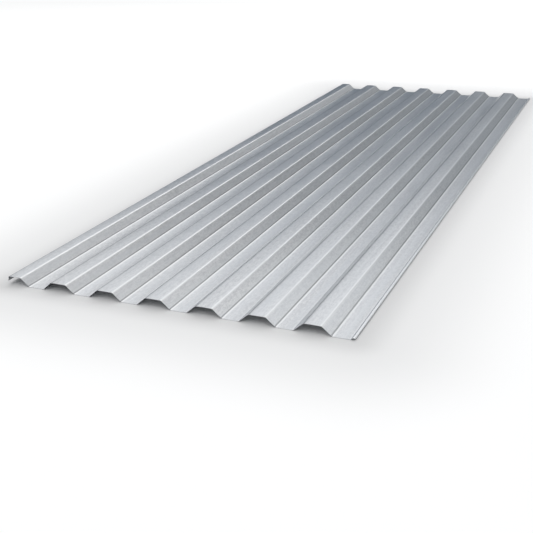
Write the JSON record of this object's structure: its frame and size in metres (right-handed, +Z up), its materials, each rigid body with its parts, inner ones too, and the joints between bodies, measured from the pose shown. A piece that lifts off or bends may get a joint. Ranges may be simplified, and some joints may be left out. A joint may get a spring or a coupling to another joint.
{
  "type": "corrugated metal sheet",
  "caption": "Trapezoidal corrugated galvanised steel sheet for roofs and walls, with flat crests and valleys, a drip lip along the overlap edge and a small water bar along the underlap edge.",
  "frame": {"origin": "under the middle of the sheet, on the plane of the valleys' undersides", "axes": "+Y along the ribs, +X across them from the overlap edge to the underlap edge, +Z up, away from the supports"},
  "size_m": [1.0304, 3, 0.0247],
  "materials": {
    "galvanised_steel": "bright galvanised, fine rolling grain along the ribs"
  },
  "bodies": {
    "root": {"corrugated_sheet": "galvanised_steel"}
  },
  "joints": []
}
